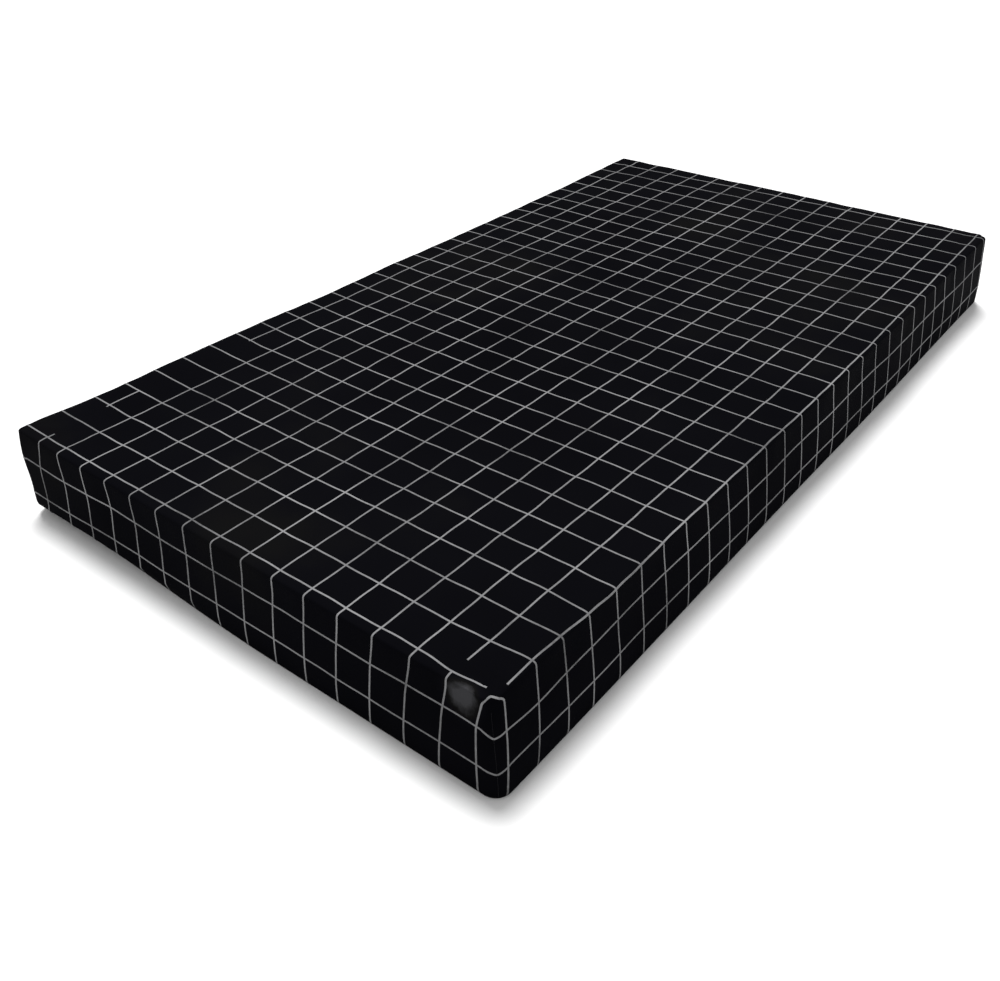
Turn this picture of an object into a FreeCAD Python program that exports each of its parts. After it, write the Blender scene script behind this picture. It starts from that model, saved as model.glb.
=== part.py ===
import FreeCAD, Part
import math
import os
import Sketcher

# Futon mattress: a foam and fibre block in an inner casing, inside a removable check cover.
#
# Frame: X along the length, Y across the width, Z up. The origin is the middle of the underside,
# on the surface that the mattress lies on. The zip runs along the foot of the +Y long side, and
# its slider rests at the closed, +X, end. Sizes are in millimetres.

SIZES = {
    # the whole mattress
    "mattress_length": 1900,
    "mattress_width": 1050,
    "mattress_depth": 160,
    "corner_radius": 24,
    "edge_radius": 14,
    # cloth
    "cover_cloth": 1.5,
    "casing_cloth": 1.0,
    "cloth_gap": 0.3,
    # filling
    "fibre_pad_depth": 14,
    "comfort_foam_depth": 30,
    "edge_wrap_depth": 8,
    # sewing
    "seam_thread": 0.6,
    "hem_thread": 0.25,
    "stitch_width": 0.8,
    "stitch_depth": 0.5,
    "stitch_margin": 4,
    "bar_tack_width": 2.4,
    # zip
    "zip_height": 30,
    "zip_slot_length": 1756,
    "zip_slot_height": 12,
    "tape_length": 1770,
    "tape_edge": 16,
    "tape_cloth": 0.6,
    "coil_length": 1740,
    "coil_width": 2.2,
    "coil_depth": 1.8,
    "coil_slot": 1.6,
    "stop_length": 5,
    "stop_width": 3.6,
    "stop_depth": 3.0,
    # slider and its pull
    "slider_length": 11,
    "slider_width": 9.2,
    "slider_corner": 2,
    "slider_plate": 1.2,
    "slider_flange": 1.0,
    "slider_post_length": 2,
    "slider_post_width": 1.0,
    "slider_gap": 0.3,
    "bridge_length": 6.8,
    "bridge_rise": 3.4,
    "bridge_strip": 0.8,
    "bridge_width": 2,
    "tab_thickness": 1.2,
    "tab_width": 7,
    "tab_length": 25,
    "tab_window": 4,
    "tab_rail": 1.3,
    "tab_lift": 1.0,
    # care label, sewn flat above one end of the zip
    "label_length": 36,
    "label_height": 50,
    "label_cloth": 0.4,
    "label_from_end": 110,
}

document = FreeCAD.newDocument("futon_mattress")
sheet = document.addObject("Spreadsheet::Sheet", "sizes")
for row, (alias, size) in enumerate(SIZES.items(), start=1):
    sheet.set(f"A{row}", alias.replace("_", " "))
    sheet.set(f"B{row}", str(size))
    sheet.setAlias(f"B{row}", alias)
document.recompute()

nodes = []


# ---------------------------------------------------------------- expressions


def cell(alias):
    """The expression that reads one cell of the sheet."""
    return f"sizes.{alias}"


def value(expression):
    """The number that an expression has now."""
    return float(sheet.evalExpression(expression))


HALF_LENGTH = "sizes.mattress_length / 2"
HALF_WIDTH = "sizes.mattress_width / 2"

# the casing stands clear of the cover, and of the zip's back plate on the +Y side
ZIP_ROOM = "(sizes.slider_plate + sizes.slider_gap * 2 + sizes.tape_cloth)"
CASING_X = f"({HALF_LENGTH} - sizes.cover_cloth - sizes.cloth_gap)"
CASING_Y_LOW = f"(-{HALF_WIDTH} + sizes.cover_cloth + sizes.cloth_gap)"
CASING_Y_HIGH = f"({HALF_WIDTH} - sizes.cover_cloth - {ZIP_ROOM})"
CASING_FLOOR = "(sizes.cover_cloth + sizes.cloth_gap)"
CASING_DEPTH = f"(sizes.mattress_depth - 2 * {CASING_FLOOR})"
CASING_CORNER = "(sizes.corner_radius + 2)"
CASING_EDGE = "(sizes.edge_radius - sizes.cover_cloth)"

# the filling fits the casing
FILLING = {
    "x_low": f"-{CASING_X} + sizes.casing_cloth",
    "x_high": f"{CASING_X} - sizes.casing_cloth",
    "y_low": f"{CASING_Y_LOW} + sizes.casing_cloth",
    "y_high": f"{CASING_Y_HIGH} - sizes.casing_cloth",
    "radius": f"{CASING_CORNER} - sizes.casing_cloth",
}
FOAM = {
    "x_low": f"{FILLING['x_low']} + sizes.edge_wrap_depth",
    "x_high": f"{FILLING['x_high']} - sizes.edge_wrap_depth",
    "y_low": f"{FILLING['y_low']} + sizes.edge_wrap_depth",
    "y_high": f"{FILLING['y_high']} - sizes.edge_wrap_depth",
    "radius": f"{FILLING['radius']} - sizes.edge_wrap_depth",
}
FILLING_FLOOR = f"({CASING_FLOOR} + sizes.casing_cloth)"
FILLING_DEPTH = f"({CASING_DEPTH} - 2 * sizes.casing_cloth)"
FOAM_FLOOR = f"({FILLING_FLOOR} + sizes.fibre_pad_depth)"
FOAM_DEPTH = f"({FILLING_DEPTH} - 2 * sizes.fibre_pad_depth)"
CORE_DEPTH = f"({FOAM_DEPTH} - sizes.comfort_foam_depth)"

# the zip: its tapes lie against the inside of the cover, and the coils face outwards in the slot
TAPE_OUTSIDE = f"({HALF_WIDTH} - sizes.cover_cloth)"
TAPE_INSIDE = f"({TAPE_OUTSIDE} - sizes.tape_cloth)"
COIL_EDGE = "(sizes.coil_slot / 2)"
SLIDER_X = "(sizes.coil_length / 2 - sizes.slider_length / 2 - 0.5)"
PLATE_TOP = "(sizes.coil_depth + sizes.slider_gap + sizes.slider_plate)"
TAB_AXIS_Y = f"({TAPE_OUTSIDE} + {PLATE_TOP} + sizes.tab_lift)"


# ---------------------------------------------------------------- ways to build


def add_node(thing, label):
    """Keeps an object as a sub-part under its own label."""
    thing.Label = label
    nodes.append(thing)
    return thing


def place(thing, x="0", y="0", z="0"):
    """Binds an object's position to expressions."""
    for axis, expression in (("x", x), ("y", y), ("z", z)):
        thing.setExpression(f"Placement.Base.{axis}", expression)
    return thing


def new_body(label):
    return add_node(document.addObject("PartDesign::Body", label), label)


def new_sketch(body, name, role, offset="0"):
    """A sketch on one of the body's own origin planes, moved along its normal by offset."""
    sketch = body.newObject("Sketcher::SketchObject", name)
    plane = next(f for f in body.Origin.OriginFeatures if f.Role == role)
    sketch.AttachmentSupport = [(plane, "")]
    sketch.MapMode = "FlatFace"
    sketch.setExpression("AttachmentOffset.Base.z", offset)
    return sketch


def bind(sketch, constraint, name, expression):
    """Adds a named constraint whose size is an expression."""
    index = sketch.addConstraint(constraint)
    sketch.renameConstraint(index, name)
    sketch.setExpression(f"Constraints.{name}", expression)


def rounded_rectangle(sketch, name, x_low, x_high, y_low, y_high, radius):
    """Draws a rectangle with round corners; its sides' places and its radius are expressions."""
    left, right, bottom, top, r = (value(e) for e in (x_low, x_high, y_low, y_high, radius))
    upright = FreeCAD.Vector(0, 0, 1)
    centres = (
        FreeCAD.Vector(right - r, top - r),
        FreeCAD.Vector(left + r, top - r),
        FreeCAD.Vector(left + r, bottom + r),
        FreeCAD.Vector(right - r, bottom + r),
    )
    arcs = []
    for turn, centre in enumerate(centres):
        start = turn * math.pi / 2
        arc = Part.ArcOfCircle(Part.Circle(centre, upright, r), start, start + math.pi / 2)
        arcs.append(sketch.addGeometry(arc))
    sides = []
    for turn in range(4):
        following = arcs[(turn + 1) % 4]
        begin = sketch.getPoint(arcs[turn], 2)
        end = sketch.getPoint(following, 1)
        side = sketch.addGeometry(Part.LineSegment(begin, end))
        sketch.addConstraint(Sketcher.Constraint("Tangent", arcs[turn], 2, side, 1))
        sketch.addConstraint(Sketcher.Constraint("Tangent", side, 2, following, 1))
        direction = "Horizontal" if turn % 2 == 0 else "Vertical"
        sketch.addConstraint(Sketcher.Constraint(direction, side))
        sides.append(side)
    for arc in arcs[1:]:
        sketch.addConstraint(Sketcher.Constraint("Equal", arcs[0], arc))
    bind(sketch, Sketcher.Constraint("Radius", arcs[0], r), f"{name}_radius", radius)
    across = (("top", "DistanceY", 0, top, y_high), ("bottom", "DistanceY", 2, bottom, y_low))
    along = (("left", "DistanceX", 1, left, x_low), ("right", "DistanceX", 3, right, x_high))
    for end, kind, turn, size, expression in across + along:
        constraint = Sketcher.Constraint(kind, -1, 1, sides[turn], 1, size)
        bind(sketch, constraint, f"{name}_{end}", expression)


def pad(body, sketch, name, length, reverse=False):
    """Extrudes a sketch along its normal, or against it."""
    feature = body.newObject("PartDesign::Pad", name)
    feature.Profile = sketch
    feature.Reversed = reverse
    feature.setExpression("Length", length)
    document.recompute()
    return feature


def pocket(body, sketch, name, length, reverse=False):
    """Cuts a sketch out of the body, and stops if nothing was cut."""
    before = body.Shape.Volume
    feature = body.newObject("PartDesign::Pocket", name)
    feature.Profile = sketch
    feature.Reversed = reverse
    feature.setExpression("Length", length)
    document.recompute()
    if not body.Shape.Volume < before:
        raise RuntimeError(f"{body.Label}: {name} cut nothing")
    return feature


def fillet(body, name, radius, chosen):
    """Rounds the edges of the body's last feature that chosen(edge) picks."""
    base = body.Tip
    edges = [f"Edge{i}" for i, edge in enumerate(base.Shape.Edges, start=1) if chosen(edge)]
    feature = body.newObject("PartDesign::Fillet", name)
    feature.Base = (base, edges)
    feature.setExpression("Radius", radius)
    document.recompute()
    return feature


def level_edge(height):
    """Picks the edges that lie flat at one height of the body's own frame."""
    level = value(height)
    return lambda edge: abs(edge.BoundBox.ZMin - level) + abs(edge.BoundBox.ZMax - level) < 1e-4


def facing_edge(depth):
    """Picks the edges that lie in one plane across Y of the body's own frame."""
    level = value(depth)
    return lambda edge: abs(edge.BoundBox.YMin - level) + abs(edge.BoundBox.YMax - level) < 1e-4


def is_foot(face):
    """Whether a face is the flat one at height 0 of the body's own frame."""
    return abs(face.BoundBox.ZMin) + abs(face.BoundBox.ZMax) < 1e-4


def slab(label, outline, floor, depth):
    """A flat layer with round corners, at its height."""
    body = new_body(label)
    sketch = new_sketch(body, f"{label}_outline", "XY_Plane")
    rounded_rectangle(sketch, "outline", **outline)
    pad(body, sketch, f"{label}_pad", depth)
    return place(body, z=floor)


def shell(label, outline, floor, depth, cloth, edge):
    """A cloth box, open below, with round corners and rounded upper edges."""
    body = new_body(label)
    sketch = new_sketch(body, f"{label}_outline", "XY_Plane")
    rounded_rectangle(sketch, "outline", **outline)
    pad(body, sketch, f"{label}_pad", depth)
    fillet(body, f"{label}_edge", edge, level_edge(depth))
    base = body.Tip
    faces = [f"Face{i}" for i, face in enumerate(base.Shape.Faces, start=1) if is_foot(face)]
    feature = body.newObject("PartDesign::Thickness", f"{label}_hollow")
    feature.Base = (base, faces)
    feature.Reversed = True
    feature.setExpression("Value", cloth)
    document.recompute()
    return place(body, z=floor)


def ring(label, outline, floor, depth, wall):
    """A band round the inside of an outline."""
    body = new_body(label)
    sketch = new_sketch(body, f"{label}_outline", "XY_Plane")
    rounded_rectangle(sketch, "outline", **outline)
    rounded_rectangle(
        sketch,
        "inside",
        x_low=f"{outline['x_low']} + {wall}",
        x_high=f"{outline['x_high']} - {wall}",
        y_low=f"{outline['y_low']} + {wall}",
        y_high=f"{outline['y_high']} - {wall}",
        radius=f"{outline['radius']} - {wall}",
    )
    pad(body, sketch, f"{label}_pad", depth)
    return place(body, z=floor)


def box(label, length, width, height, x, y, z):
    """A straight strip or block, from its lowest corner."""
    block = document.addObject("Part::Box", label)
    block.Label = label
    block.setExpression("Length", length)
    block.setExpression("Width", width)
    block.setExpression("Height", height)
    return place(block, x, y, z)


def group(label, pieces):
    """Separate solids of one kind, kept as one sub-part."""
    compound = document.addObject("Part::Compound", label)
    compound.Links = pieces
    return add_node(compound, label)


# ---------------------------------------------------------------- cover

COVER_OUTLINE = {
    "x_low": f"-{HALF_LENGTH}",
    "x_high": HALF_LENGTH,
    "y_low": f"-{HALF_WIDTH}",
    "y_high": HALF_WIDTH,
    "radius": cell("corner_radius"),
}


def cover_cap():
    """Top and four sides, cut in one, with the slot for the zip."""
    height = "(sizes.mattress_depth - sizes.cover_cloth)"
    cloth = cell("cover_cloth")
    body = shell("cover_cap", COVER_OUTLINE, cloth, height, cloth, cell("edge_radius"))
    slot = new_sketch(body, "zip_slot_outline", "XZ_Plane", offset=f"-({TAPE_OUTSIDE} - 1)")
    middle = "(sizes.zip_height - sizes.cover_cloth)"
    rounded_rectangle(
        slot,
        "slot",
        x_low="-sizes.zip_slot_length / 2",
        x_high="sizes.zip_slot_length / 2",
        y_low=f"{middle} - sizes.zip_slot_height / 2",
        y_high=f"{middle} + sizes.zip_slot_height / 2",
        radius="2",
    )
    pocket(body, slot, "zip_slot", "sizes.cover_cloth + 2")


def corner_seam_threads():
    """The sewing inside each upright corner, where the cap's sides are joined."""
    inset = "(sizes.corner_radius - sizes.cover_cloth - sizes.seam_thread) * sqrt(0.5)"
    bottom = "(sizes.cover_cloth * 2)"
    threads = []
    for name, x_sign, y_sign in (("a", 1, 1), ("b", -1, 1), ("c", -1, -1), ("d", 1, -1)):
        thread = document.addObject("Part::Cylinder", f"corner_thread_{name}")
        thread.setExpression("Radius", "sizes.seam_thread / 2")
        thread.setExpression("Height", f"sizes.mattress_depth - 2 * sizes.edge_radius - {bottom}")
        x = f"{x_sign} * ({HALF_LENGTH} - sizes.corner_radius + {inset})"
        y = f"{y_sign} * ({HALF_WIDTH} - sizes.corner_radius + {inset})"
        threads.append(place(thread, x, y, bottom))
    group("corner_seam_threads", threads)


def bottom_seam_thread():
    """The sewing that joins the cap's foot to the bottom panel, just inside the cover."""
    inside = {
        "x_low": f"-{HALF_LENGTH} + sizes.cover_cloth",
        "x_high": f"{HALF_LENGTH} - sizes.cover_cloth",
        "y_low": f"-{HALF_WIDTH} + sizes.cover_cloth",
        "y_high": f"{HALF_WIDTH} - sizes.cover_cloth",
        "radius": "sizes.corner_radius - sizes.cover_cloth",
    }
    thread = cell("hem_thread")
    ring("bottom_seam_thread", inside, cell("cover_cloth"), thread, thread)


# ---------------------------------------------------------------- zip


def zip_side(name, sign):
    """One half of the zip, above (sign 1) or below (sign -1) its middle line."""

    def lowest(near, width):
        """Height of a strip that starts near from the middle line and is width high."""
        if sign > 0:
            return f"sizes.zip_height + {near}"
        return f"sizes.zip_height - {near} - {width}"

    tape_width = f"(sizes.tape_edge - {COIL_EDGE})"
    tape = box(
        f"zip_tape_{name}",
        length=cell("tape_length"),
        width=cell("tape_cloth"),
        height=tape_width,
        x="-sizes.tape_length / 2",
        y=TAPE_INSIDE,
        z=lowest(COIL_EDGE, tape_width),
    )
    add_node(tape, f"zip_tape_{name}")
    coil = box(
        f"zip_coil_{name}",
        length=cell("coil_length"),
        width=cell("coil_depth"),
        height=cell("coil_width"),
        x="-sizes.coil_length / 2",
        y=TAPE_OUTSIDE,
        z=lowest(COIL_EDGE, cell("coil_width")),
    )
    add_node(coil, f"zip_coil_{name}")
    near_stitch = "(sizes.zip_slot_height / 2 + sizes.stitch_margin)"
    stitching = box(
        f"tape_stitching_{name}",
        length="sizes.zip_slot_length + 4",
        width=cell("stitch_depth"),
        height=cell("stitch_width"),
        x="-(sizes.zip_slot_length + 4) / 2",
        y=HALF_WIDTH,
        z=lowest(near_stitch, cell("stitch_width")),
    )
    add_node(stitching, f"tape_stitching_{name}")
    return box(
        f"zip_top_stop_{name}",
        length=cell("stop_length"),
        width=cell("stop_depth"),
        height=f"sizes.stop_width - {COIL_EDGE}",
        x="sizes.coil_length / 2",
        y=TAPE_OUTSIDE,
        z=lowest(COIL_EDGE, f"(sizes.stop_width - {COIL_EDGE})"),
    )


def zip_ends():
    """The block that ends the coils at -X, and the bar tacks beside the slot's two ends."""
    stop = box(
        "zip_bottom_stop",
        length=cell("stop_length"),
        width=cell("stop_depth"),
        height="sizes.stop_width * 2",
        x="-sizes.coil_length / 2 - sizes.stop_length",
        y=TAPE_OUTSIDE,
        z="sizes.zip_height - sizes.stop_width",
    )
    add_node(stop, "zip_bottom_stop")
    tack_height = "(sizes.zip_slot_height + 2 * sizes.stitch_margin)"
    tacks = []
    for name, sign in (("closed", 1), ("open", -1)):
        middle = f"{sign} * (sizes.zip_slot_length / 2 + 2 + sizes.bar_tack_width / 2)"
        tacks.append(
            box(
                f"bar_tack_{name}",
                length=cell("bar_tack_width"),
                width=cell("stitch_depth"),
                height=tack_height,
                x=f"{middle} - sizes.bar_tack_width / 2",
                y=HALF_WIDTH,
                z=f"sizes.zip_height - {tack_height} / 2",
            )
        )
    group("zip_bar_tacks", tacks)


def zip_slider():
    """Two plates that hold the coils between them, joined by a post and edged with flanges.

    The body's own frame has its origin on the outer face of the tapes, midway between the coils.
    """
    body = new_body("zip_slider")
    outline = {
        "x_low": "-sizes.slider_length / 2",
        "x_high": "sizes.slider_length / 2",
        "y_low": "-sizes.slider_width / 2",
        "y_high": "sizes.slider_width / 2",
        "radius": cell("slider_corner"),
    }
    channel = "(sizes.coil_depth + sizes.slider_gap)"
    back_face = "(sizes.tape_cloth + sizes.slider_gap)"
    # pads run along the XZ plane's normal, which is -Y
    front = new_sketch(body, "front_plate_outline", "XZ_Plane", offset=f"-{channel}")
    rounded_rectangle(front, "front", **outline)
    pad(body, front, "front_plate", cell("slider_plate"), reverse=True)
    fillet(body, "front_plate_edge", "0.5", facing_edge(PLATE_TOP))
    post = new_sketch(body, "post_outline", "XZ_Plane", offset=f"-{channel}")
    post_end = "(sizes.slider_length / 2 - 1)"
    rounded_rectangle(
        post,
        "post",
        x_low=f"{post_end} - sizes.slider_post_length",
        x_high=post_end,
        y_low="-sizes.slider_post_width / 2",
        y_high="sizes.slider_post_width / 2",
        radius="sizes.slider_post_width * 0.4",
    )
    pad(body, post, "post", f"{channel} + {back_face}")
    back = new_sketch(body, "back_plate_outline", "XZ_Plane", offset=back_face)
    rounded_rectangle(back, "back", **outline)
    pad(body, back, "back_plate", cell("slider_plate"))
    for name, sign in (("upper", 1), ("lower", -1)):
        flange = new_sketch(body, f"{name}_flange_outline", "XZ_Plane", offset=f"-{channel}")
        outer = "sizes.slider_width / 2"
        inner = f"({outer} - sizes.slider_flange)"
        rounded_rectangle(
            flange,
            "flange",
            x_low="-sizes.slider_length / 2 + sizes.slider_corner",
            x_high="sizes.slider_length / 2 - sizes.slider_corner",
            y_low=inner if sign > 0 else f"-{outer}",
            y_high=outer if sign > 0 else f"-{inner}",
            radius="sizes.slider_flange * 0.3",
        )
        pad(body, flange, f"{name}_flange", "sizes.coil_depth")
    place(body, SLIDER_X, TAPE_OUTSIDE, cell("zip_height"))


def slider_bridge():
    """The arched strip on the slider that the pull's bar turns under."""
    body = new_body("slider_bridge")
    outside = new_sketch(body, "bridge_outline", "XZ_Plane", offset=f"-{PLATE_TOP}")
    half = "sizes.bridge_length / 2"
    rounded_rectangle(
        outside,
        "foot",
        x_low=f"-{half}",
        x_high=half,
        y_low="-sizes.bridge_width / 2",
        y_high="sizes.bridge_width / 2",
        radius="0.3",
    )
    pad(body, outside, "bridge_block", cell("bridge_rise"), reverse=True)
    top = f"({PLATE_TOP} + sizes.bridge_rise)"
    fillet(body, "bridge_edge", "0.25", facing_edge(top))
    opening = new_sketch(body, "bridge_opening", "XY_Plane", offset="-sizes.bridge_width")
    rounded_rectangle(
        opening,
        "opening",
        x_low=f"-({half} - sizes.bridge_strip)",
        x_high=f"{half} - sizes.bridge_strip",
        y_low=f"{PLATE_TOP} - 1",
        y_high=f"{top} - sizes.bridge_strip",
        radius="0.6",
    )
    pocket(body, opening, "bridge_gap", "sizes.bridge_width * 2", reverse=True)
    place(body, SLIDER_X, TAPE_OUTSIDE, cell("zip_height"))


def pull_tab():
    """The flat tab, whose end bar turns under the bridge. Its own origin is on the bar's axis."""
    body = new_body("pull_tab")
    half = "sizes.tab_thickness / 2"
    face = new_sketch(body, "tab_outline", "XZ_Plane", offset=f"-{half}")
    rounded_rectangle(
        face,
        "outline",
        x_low=f"{half} - sizes.tab_length",
        x_high=half,
        y_low="-sizes.tab_width / 2",
        y_high="sizes.tab_width / 2",
        radius="0.55",
    )
    rounded_rectangle(
        face,
        "window",
        x_low=f"-{half} - sizes.tab_window",
        x_high=f"-{half}",
        y_low="-sizes.tab_width / 2 + sizes.tab_rail",
        y_high="sizes.tab_width / 2 - sizes.tab_rail",
        radius="0.3",
    )
    rounded_rectangle(
        face,
        "grip",
        x_low=f"{half} - sizes.tab_length + 3",
        x_high=f"{half} - sizes.tab_length + 11",
        y_low="-sizes.tab_rail",
        y_high="sizes.tab_rail",
        radius="1.2",
    )
    pad(body, face, "tab_plate", cell("tab_thickness"))
    place(body, SLIDER_X, TAB_AXIS_Y, cell("zip_height"))
    fillet(body, "tab_front_edge", "0.35", facing_edge(half))
    fillet(body, "tab_back_edge", "0.35", facing_edge(f"-{half}"))


def care_label():
    """A blank care label, sewn flat on the +Y side above the open end of the zip."""
    label = box(
        "care_label",
        length=cell("label_length"),
        width=cell("label_cloth"),
        height=cell("label_height"),
        x=f"-{HALF_LENGTH} + sizes.label_from_end",
        y=HALF_WIDTH,
        z="sizes.zip_height + sizes.zip_slot_height",
    )
    add_node(label, "care_label")


# ---------------------------------------------------------------- insert


def inner_casing():
    """The insert's own casing: a cloth box, the sheet that closes it below, and their sewing."""
    outline = {
        "x_low": f"-{CASING_X}",
        "x_high": CASING_X,
        "y_low": CASING_Y_LOW,
        "y_high": CASING_Y_HIGH,
        "radius": CASING_CORNER,
    }
    cloth = cell("casing_cloth")
    slab("casing_bottom", outline, CASING_FLOOR, cloth)
    shell("casing_cap", outline, FILLING_FLOOR, f"({CASING_DEPTH} - {cloth})", cloth, CASING_EDGE)


def filling():
    """Fibre pads under and over two layers of foam, with fibre wrapped round the foam's edge."""
    slab("bottom_fibre_pad", FILLING, FILLING_FLOOR, cell("fibre_pad_depth"))
    slab("support_foam_core", FOAM, FOAM_FLOOR, CORE_DEPTH)
    comfort_floor = f"({FOAM_FLOOR} + {CORE_DEPTH})"
    slab("comfort_foam_layer", FOAM, comfort_floor, cell("comfort_foam_depth"))
    ring("edge_fibre_wrap", FILLING, FOAM_FLOOR, FOAM_DEPTH, cell("edge_wrap_depth"))
    top_floor = f"({FOAM_FLOOR} + {FOAM_DEPTH})"
    pad_top = slab("top_fibre_pad", FILLING, top_floor, cell("fibre_pad_depth"))
    edge = f"{CASING_EDGE} - sizes.casing_cloth"
    fillet(pad_top, "top_fibre_edge", edge, level_edge(cell("fibre_pad_depth")))


# ---------------------------------------------------------------- the assembly

cover_cap()
slab("cover_bottom_panel", COVER_OUTLINE, "0", cell("cover_cloth"))
corner_seam_threads()
bottom_seam_thread()
group("zip_top_stops", [zip_side("upper", 1), zip_side("lower", -1)])
zip_ends()
zip_slider()
slider_bridge()
pull_tab()
care_label()
inner_casing()
filling()
document.recompute()

# ---------------------------------------------------------------- checks and files

for thing in document.Objects:
    if "Invalid" in thing.State or "Error" in thing.State:
        raise RuntimeError(f"{thing.Label} failed to build: {thing.State}")
for node in nodes:
    if node.Shape.isNull() or not node.Shape.isValid() or not node.Shape.Solids:
        raise RuntimeError(f"{node.Label} has no valid solid")

os.makedirs("parts", exist_ok=True)
for node in nodes:
    node.Shape.exportStep(f"parts/{node.Label}.step")
    box_size = node.Shape.optimalBoundingBox(False)
    print(
        f"{node.Label:22s} solids {len(node.Shape.Solids)}"
        f"  X {box_size.XMin:8.2f} {box_size.XMax:8.2f}"
        f"  Y {box_size.YMin:8.2f} {box_size.YMax:8.2f}"
        f"  Z {box_size.ZMin:7.2f} {box_size.ZMax:7.2f}"
        f"  volume {node.Shape.Volume / 1000:.2f} cm3"
    )
print(f"{len(nodes)} sub-parts")
print(f"slider at {value(SLIDER_X)}, {value(TAPE_OUTSIDE)}; pull axis at y {value(TAB_AXIS_Y)}")
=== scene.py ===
import math

import bmesh
import bpy
import numpy as np
from numpy import column_stack as columns
from numpy.linalg import norm
from mathutils import Matrix, Vector


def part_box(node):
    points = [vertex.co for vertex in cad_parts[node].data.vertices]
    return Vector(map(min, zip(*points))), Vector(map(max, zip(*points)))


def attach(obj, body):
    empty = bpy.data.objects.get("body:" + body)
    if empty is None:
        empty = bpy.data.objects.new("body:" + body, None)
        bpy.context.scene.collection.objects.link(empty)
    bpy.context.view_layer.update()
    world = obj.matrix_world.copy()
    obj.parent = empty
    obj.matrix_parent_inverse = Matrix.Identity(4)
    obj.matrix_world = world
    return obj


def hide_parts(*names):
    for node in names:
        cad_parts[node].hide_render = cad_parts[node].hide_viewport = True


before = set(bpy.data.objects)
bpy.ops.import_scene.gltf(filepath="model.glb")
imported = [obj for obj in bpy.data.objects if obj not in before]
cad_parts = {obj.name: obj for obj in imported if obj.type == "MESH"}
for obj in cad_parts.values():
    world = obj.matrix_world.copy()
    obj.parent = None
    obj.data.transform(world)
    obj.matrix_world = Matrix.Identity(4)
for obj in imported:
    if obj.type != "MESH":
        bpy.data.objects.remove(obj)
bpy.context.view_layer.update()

# A futon mattress: foam and fibre in a casing, inside a black zipped cover with a pale check.
# X runs along the length, Y across the width and Z up from the floor, all in metres.

MM = 0.001

# ---- sizes, from the frame

cap_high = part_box("cover_cap")[1]
panel_low, panel_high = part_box("cover_bottom_panel")
tape_low, tape_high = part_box("zip_tape_upper")
tack_low, tack_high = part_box("zip_bar_tacks")
label_low, label_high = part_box("care_label")
core_low, core_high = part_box("support_foam_core")
comfort_low, comfort_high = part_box("comfort_foam_layer")
casing_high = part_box("casing_bottom")[1]

HALF_X = cap_high.x
HALF_Y = cap_high.y
TOP = cap_high.z
CLOTH = panel_high.z - panel_low.z

# the check: even squares, whose first lines lie this far in from the -X and the -Y faces
SQUARE = 65 * MM
FIRST_X = 26 * MM
FIRST_Y = 21.5 * MM
LINE_WIDTH = 2.8 * MM
LINE_PROUD = 0.30 * MM
LINE_SUNK = 0.45 * MM

# the cover turns its upright corners on this radius, round the corners of an inner rectangle
CORNER = 28 * MM
INNER_X = HALF_X - CORNER
INNER_Y = HALF_Y - CORNER
CORNERS = ((-1, -1), (-1, 1), (1, -1), (1, 1))

# half of the cover's section, from the inner rectangle out and down to the hem: how far in
# from the widest outline, and how high, as the control points of a smooth curve
SECTION_MM = (
    *((28, 160), (22, 160), (15, 159.7), (12, 157.5), (11.4, 152), (10.4, 143), (6.6, 113)),
    *((2.6, 72), (0.6, 47), (0, 28), (0, 12), (0.4, 4), (2.4, 1.7), (4.5, 1.6)),
)

# how far each layer's outside lies inside the cover's outside
CASING_INSET = 2.1 * MM
CASING_CLOTH = 0.9 * MM
PAD_INSET = 3.3 * MM
FOAM_INSET = 11.4 * MM

# the zip: a slot in the +Y side, and the line along which its two rows mesh
ZIP_Z = (tape_low.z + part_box("zip_tape_lower")[1].z) / 2
SLOT_HALF_X = 878 * MM
SLOT_HALF_Z = 6 * MM
COIL_PITCH = 1.3 * MM

# ---- curves and smooth fields


def hill(distance, width):
    """1 at distance 0, falling smoothly to 0 at about twice the width."""
    return np.exp(-((distance / width) ** 2))


def ramp(value, low, high):
    """0 below low, 1 above high, smooth between."""
    t = np.clip((value - low) / (high - low), 0, 1)
    return t * t * (3 - 2 * t)


def waves(points, count, length, seed):
    """A smooth random field, mostly from -1 to 1, of plane waves about that long."""
    dice = np.random.RandomState(seed)
    total = np.zeros(len(points))
    for _ in range(count):
        direction = dice.normal(size=3)
        direction /= norm(direction)
        wave = length * dice.uniform(0.6, 1.4)
        total += np.sin(points @ direction * (math.tau / wave) + dice.uniform(0, math.tau))
    return total / math.sqrt(count)


def smooth_curve(controls, per_span=60):
    """Close points of a cubic B-spline that starts and ends at its end controls."""
    controls = np.array(controls, float)
    padded = np.vstack([controls[:1]] * 2 + [controls] + [controls[-1:]] * 2)
    t = np.linspace(0, 1, per_span, endpoint=False)[:, None]
    basis = ((1 - t) ** 3, 3 * t**3 - 6 * t**2 + 4, -3 * t**3 + 3 * t**2 + 3 * t + 1, t**3)
    starts = range(len(padded) - 3)
    spans = [sum(b * padded[i + k] for k, b in enumerate(basis)) / 6 for i in starts]
    return np.vstack(spans + [controls[-1:]])


def lengths_along(points):
    return np.concatenate([[0], np.cumsum(norm(np.diff(points, axis=0), axis=1))])


def without_repeats(points):
    """A path without the points that lie on the one before."""
    steps = norm(np.diff(points, axis=0), axis=1)
    return points[np.concatenate([[True], steps > 1e-8])]


def columns_at(place, places, *tables):
    """Each table's columns, interpolated at a place between its rows' places."""
    return [columns([np.interp(place, places, c) for c in t.T]) for t in tables]


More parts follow.
